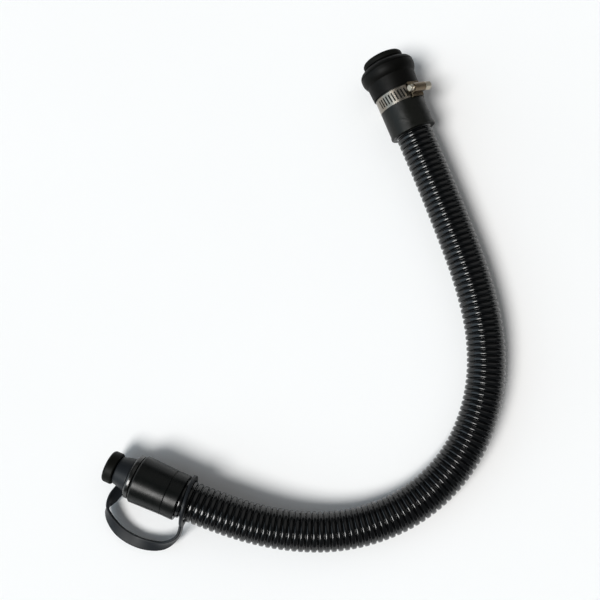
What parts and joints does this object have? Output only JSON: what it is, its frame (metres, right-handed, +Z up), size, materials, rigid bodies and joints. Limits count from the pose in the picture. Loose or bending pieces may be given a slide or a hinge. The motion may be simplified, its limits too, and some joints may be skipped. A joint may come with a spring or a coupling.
{
  "type": "snorkel tube",
  "caption": "Flexible corrugated breathing hose with a bead-flanged mask adapter held by a worm-drive clamp, and a push-in plug on a strap at its other end.",
  "frame": {"origin": "on the surface that the hose lies on, at the bottom centre of the box around every piece but the hose", "axes": "+Z up from that surface; +Y towards the mask adapter's end; +X towards the outside of the bend"},
  "size_m": [0.3439, 0.4382, 0.0514],
  "materials": {
    "hose_rubber": "semi-gloss moulded rings",
    "cuff_rubber": "satin, faintly creased",
    "liner_plastic": "matte",
    "adapter_plastic": "satin moulded",
    "seal_rubber": "matte, faintly chalky",
    "o_ring_rubber": "satin",
    "clamp_steel": "bright rolled strip",
    "screw_steel": "zinc plated",
    "inlet_plastic": "satin-gloss moulded",
    "plug_rubber": "matte",
    "tether_rubber": "satin"
  },
  "bodies": {
    "tube": {"corrugated_hose": "hose_rubber", "upper_hose_bush": "liner_plastic", "upper_cuff": "cuff_rubber", "mask_adapter": "adapter_plastic", "adapter_lip_seal": "seal_rubber", "adapter_o_ring": "o_ring_rubber", "clamp_band": "clamp_steel", "clamp_saddle": "clamp_steel", "clamp_housing": "clamp_steel", "lower_hose_bush": "liner_plastic", "hose_collar": "inlet_plastic", "inlet_body": "inlet_plastic"},
    "screw": {"clamp_screw": "screw_steel"},
    "tether": {"plug_tether": "tether_rubber"},
    "plug_ring": {"tether_end_ring": "tether_rubber"},
    "plug": {"plug": "plug_rubber", "plug_o_ring": "o_ring_rubber"}
  },
  "joints": [
    {"name": "clamp_screw_turn", "type": "hinge", "parent": "tube", "child": "screw", "pos_m": [0.12737, 0.17741, 0.04294], "axis": [0.7417, 0.3506, -0.5719], "continuous": true},
    {"name": "tether_swivel", "type": "hinge", "parent": "tube", "child": "tether", "pos_m": [-0.096, -0.166, 0.0209], "axis": [-0.9177, 0.3959, -0.0324], "continuous": true},
    {"name": "plug_pull", "type": "slide", "parent": "tether", "child": "plug_ring", "axis": [-0.9177, 0.3959, -0.0324], "range_m": [0, 0.035], "deforming": ["plug_tether"]},
    {"name": "plug_twist", "type": "hinge", "parent": "plug_ring", "child": "plug", "pos_m": [-0.096, -0.166, 0.0209], "axis": [-0.9177, 0.3959, -0.0324], "continuous": true}
  ]
}
